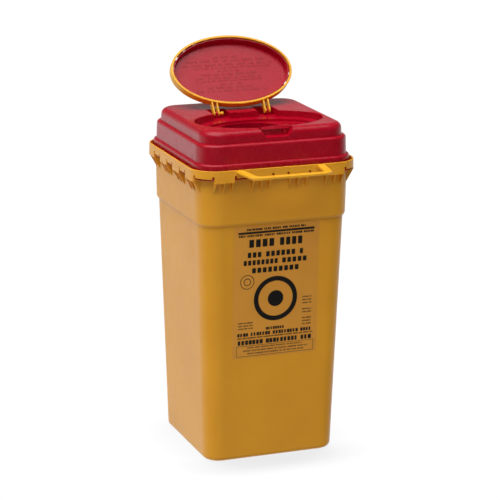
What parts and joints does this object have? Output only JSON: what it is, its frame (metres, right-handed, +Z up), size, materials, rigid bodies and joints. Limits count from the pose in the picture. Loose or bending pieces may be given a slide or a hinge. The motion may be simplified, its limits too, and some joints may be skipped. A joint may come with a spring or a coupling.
{
  "type": "sharps container",
  "caption": "Tall tapered square waste tub for used sharps with a stepped press-fit lid, an oval hinged flap and two flat folding handles.",
  "frame": {"origin": "centre of the base, on the surface that the container stands on", "axes": "+Z up, -Y towards the front (label and finger notch), +X to the right seen from the front"},
  "size_m": [0.249, 0.347, 0.5909],
  "materials": {
    "container_yellow": "semi-matt moulded polypropylene, safety yellow",
    "lid_red": "semi-matt moulded polypropylene, deep red",
    "flap_yellow": "semi-matt moulded polypropylene, safety yellow",
    "flap_red": "semi-matt moulded polypropylene, deep red with fine raised marks",
    "handle_yellow": "semi-matt moulded polypropylene, safety yellow",
    "label_film": "smooth printed film, yellow ground with black print"
  },
  "bodies": {
    "container": {"tub_body": "container_yellow", "snap_collar": "container_yellow", "main_lid": "lid_red", "front_label": "label_film"},
    "flap": {"flap_ring": "flap_yellow", "flap_panel": "flap_red"},
    "front_handle": {"front_handle": "handle_yellow"},
    "rear_handle": {"rear_handle": "handle_yellow"}
  },
  "joints": [
    {"name": "flap_hinge", "type": "hinge", "parent": "container", "child": "flap", "pos_m": [0, 0.034, 0.49], "axis": [1, 0, 0], "range_deg": [0, 131]},
    {"name": "front_handle_fold", "type": "hinge", "parent": "container", "child": "front_handle", "pos_m": [0, -0.12475, 0.44], "axis": [-1, 0, 0], "range_deg": [0, 98]},
    {"name": "rear_handle_fold", "type": "hinge", "parent": "container", "child": "rear_handle", "pos_m": [0, 0.12475, 0.44], "axis": [1, 0, 0], "range_deg": [0, 98]}
  ]
}
